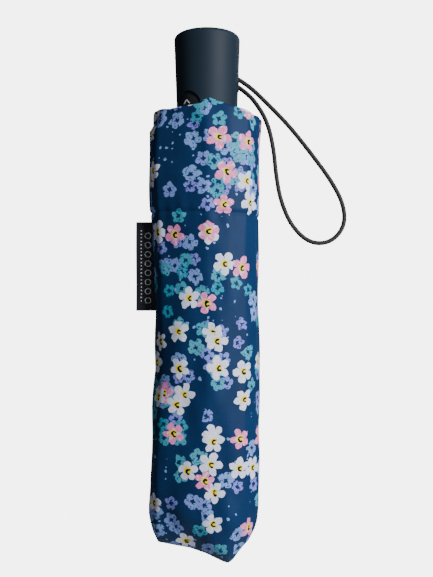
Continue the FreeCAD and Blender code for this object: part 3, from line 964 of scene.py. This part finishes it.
tiePoints, tieUv = tieSurface()
tie = addGrid("canopy_tie_band", tiePoints, tieUv, closed=True)
tieWall = tie.modifiers.new("wall", "SOLIDIFY")
tieWall.thickness = tiePlan["wall"] / 1000
tieWall.offset = -1.0
tie.data.materials.append(clothPrint)
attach(tie, "upper_shaft")
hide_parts("canopy_tie")
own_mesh(tie)
print("furled canopy made")

# canopy cloth that lies between the ribs when open, built folded back onto narrow strips along the furled
# ribs
fanPlan = {
    "stripWidth": 6.5,
    "overlap": 2.4,
    "spread": 179.0,
    "azimuthEnd": 180.3,
    "columns": 181,
    "rows": 42,
    "wall": 0.3,
    "liftShare": 1.05,
    "goreSag": 0.010,
    "halfGore": 22.5,
    "flatness": 0.5,
    "scallop": 0.035,
    "scallopFrom": 330.0,
    "rim": 480.4,
    # radius and height of the ribs' line over the crown's pivot when open, mm
    "ribLine": [(0.0, 0.0), (8.9, 0.0), (163.884, 30.796), (316.66, 90.552), (480.4, 190.85),
                (600.0, 264.0)],
    # radius and how far the cloth lies off the ribs' line there, mm
    "lift": [(0, 5.1), (10.6, 5.1), (18, 3.2), (30, 2.0), (163.9, 1.8), (316.7, 3.4), (480.4, 1.8),
             (600, 1.8)],
    "openZ": -585.5,
    # name: (inner and outer radius, turn, pivot when furled, pivot when open, rib body)
    "bands": {
        "inner": (7.0, 163.9, 78.0, (8.9, -250.5), (8.9, -585.5), "top_rib"),
        "middle": (163.9, 316.7, -110.0, (11.0, -92.5), (163.884, -554.704), "middle_rib"),
        "outer": (316.7, 480.4, 58.0, (14.9, -256.5), (316.660, -494.948), "outer_rib"),
    },
    "sides": {"front": (1, 0.0), "back": (5, 180.0)},
}


def fanSurface(near, far, turn, furledPivot, openPivot):
    # the open cloth over half the canopy, folded back onto a narrow strip along its rib
    plan = fanPlan
    rows = plan["rows"]
    azimuth = np.linspace(0.0, plan["azimuthEnd"], plan["columns"])[:, None]
    fromMiddle = np.radians(np.mod(azimuth, 2 * plan["halfGore"]) - plan["halfGore"])
    ribRadius = np.linspace(near, far, rows)[None, :]
    chord = math.cos(math.radians(plan["halfGore"])) / np.cos(fromMiddle)
    chord = 1 - (1 - chord) * plan["flatness"]
    middle = 1 - (fromMiddle / math.radians(plan["halfGore"])) ** 2
    edge = smoothStep(ribRadius, plan["scallopFrom"], plan["rim"]) * plan["scallop"] * middle
    radius = ribRadius * chord * (1 - edge)
    height = table(ribRadius, plan["ribLine"]) - table(ribRadius, plan["lift"]) * plan["liftShare"]
    sag = plan["goreSag"] * ribRadius * (1 - chord)
    height = np.broadcast_to(height, radius.shape) - sag + plan["openZ"]
    # find how far across the strip each azimuth lies
    y = np.linspace(0, plan["stripWidth"] + plan["overlap"], 3000)
    weight = smoothStep(y, 0, plan["stripWidth"])
    across = np.empty_like(radius)
    for row in range(rows):
        r = radius[:, row].mean()
        reached = weight * plan["spread"] + np.degrees(np.arcsin(np.clip(y / r, -1, 1)))
        across[:, row] = np.interp(azimuth[:, 0], reached, y)
    inPlane = np.sqrt(np.maximum(radius ** 2 - across ** 2, 0))
    dx, dz = inPlane - openPivot[0], height - openPivot[1]
    back = math.radians(-turn)
    x = furledPivot[0] + dx * math.cos(back) + dz * math.sin(back)
    z = furledPivot[1] - dx * math.sin(back) + dz * math.cos(back)
    wide = np.radians(azimuth)
    uv = np.stack([radius * np.cos(wide), radius * np.sin(wide)], -1) / 1000
    return np.stack([x, across, z], -1) / 1000, uv


for sideName, (ribNumber, sideTurn) in fanPlan["sides"].items():
    for bandName, (near, far, turn, furledPivot, openPivot, ribBody) in fanPlan["bands"].items():
        fanPoints, fanUv = fanSurface(near, far, turn, furledPivot, openPivot)
        sign = 1.0 if sideTurn == 0 else -1.0
        fanPoints = fanPoints * np.array([sign, sign, 1.0])
        nodeName = "canopy_panel_%s_%s" % (sideName, bandName)
        fan = addGrid("canopy_%s_%s_cloth" % (sideName, bandName), fanPoints, fanUv * sign)
        fanWall = fan.modifiers.new("wall", "SOLIDIFY")
        fanWall.thickness = fanPlan["wall"] / 1000
        fanWall.offset = 0.0
        fan.data.materials.append(clothPrint)
        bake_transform(fan)
        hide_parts(nodeName)

# floor, world and lights
stagePlan = {
    "floorZ": -0.96,
    "floorSize": 1.7,
    "floorGlow": 2.2,
    "background": 5.5,
    "ambient": 0.08,
    # name, place, target, width, height, watts
    "lights": [
        ("key", (0.60, -0.64, 0.08), (0.0, 0.0, -0.14), 0.36, 0.60, 17.0),
        ("fill", (-0.75, -0.55, 0.20), (0.0, 0.0, -0.15), 0.50, 0.50, 0.4),
        ("back", (0.30, 0.80, 0.55), (0.0, 0.0, -0.25), 0.60, 0.60, 6.0),
    ],
}

floorHalf = stagePlan["floorSize"] / 2
floorCorners = np.array([(-1, -1, 0), (1, -1, 0), (1, 1, 0), (-1, 1, 0)]) * floorHalf
floorCorners[:, 2] = stagePlan["floorZ"]
floor = addMesh("floor", floorCorners, np.array([[0, 1, 2, 3]]))
floorPaint, _, floorShader = newMaterial("floor_paint", Roughness=0.8)
floorShader.inputs["Base Color"].default_value = (0.80, 0.80, 0.80, 1.0)
floorTree = floorPaint.node_tree
floorGlow = floorTree.nodes.new("ShaderNodeEmission")  # seen by the camera only, so it lights nothing
floorRays = floorTree.nodes.new("ShaderNodeLightPath")
floorSeen = mathNode(floorTree, "MULTIPLY", floorRays.outputs["Is Camera Ray"], stagePlan["floorGlow"])
floorTree.links.new(floorSeen, floorGlow.inputs["Strength"])
floorSum = floorTree.nodes.new("ShaderNodeAddShader")
floorTree.links.new(floorShader.outputs[0], floorSum.inputs[0])
floorTree.links.new(floorGlow.outputs[0], floorSum.inputs[1])
floorClear = floorTree.nodes.new("ShaderNodeBsdfTransparent")  # clear from below
floorSides = floorTree.nodes.new("ShaderNodeMixShader")
floorFace = floorTree.nodes.new("ShaderNodeNewGeometry")
floorTree.links.new(floorFace.outputs["Backfacing"], floorSides.inputs[0])
floorTree.links.new(floorSum.outputs[0], floorSides.inputs[1])
floorTree.links.new(floorClear.outputs[0], floorSides.inputs[2])
floorTree.links.new(floorSides.outputs[0], floorTree.nodes["Material Output"].inputs["Surface"])
floor.data.materials.append(floorPaint)

world = bpy.data.worlds.new("studio")
world.use_nodes = True
bpy.context.scene.world = world
worldTree = world.node_tree
surroundings = worldTree.nodes["Background"]
seen = worldTree.nodes.new("ShaderNodeBackground")
mixer = worldTree.nodes.new("ShaderNodeMixShader")
rays = worldTree.nodes.new("ShaderNodeLightPath")
surroundings.inputs["Color"].default_value = (0.95, 0.97, 1.0, 1.0)
surroundings.inputs["Strength"].default_value = stagePlan["ambient"]
seen.inputs["Color"].default_value = (1.0, 1.0, 1.0, 1.0)
seen.inputs["Strength"].default_value = stagePlan["background"]
worldTree.links.new(rays.outputs["Is Camera Ray"], mixer.inputs[0])
worldTree.links.new(surroundings.outputs[0], mixer.inputs[1])
worldTree.links.new(seen.outputs[0], mixer.inputs[2])
worldTree.links.new(mixer.outputs[0], worldTree.nodes["World Output"].inputs["Surface"])

for lightName, place, target, width, height, power in stagePlan["lights"]:
    lightData = bpy.data.lights.new(lightName, "AREA")
    lightData.shape = "RECTANGLE"
    lightData.size, lightData.size_y = width, height
    lightData.energy = power
    light = bpy.data.objects.new(lightName, lightData)
    bpy.context.scene.collection.objects.link(light)
    light.location = place
    light.rotation_euler = (Vector(target) - Vector(place)).to_track_quat("-Z", "Y").to_euler()
print("stage made")
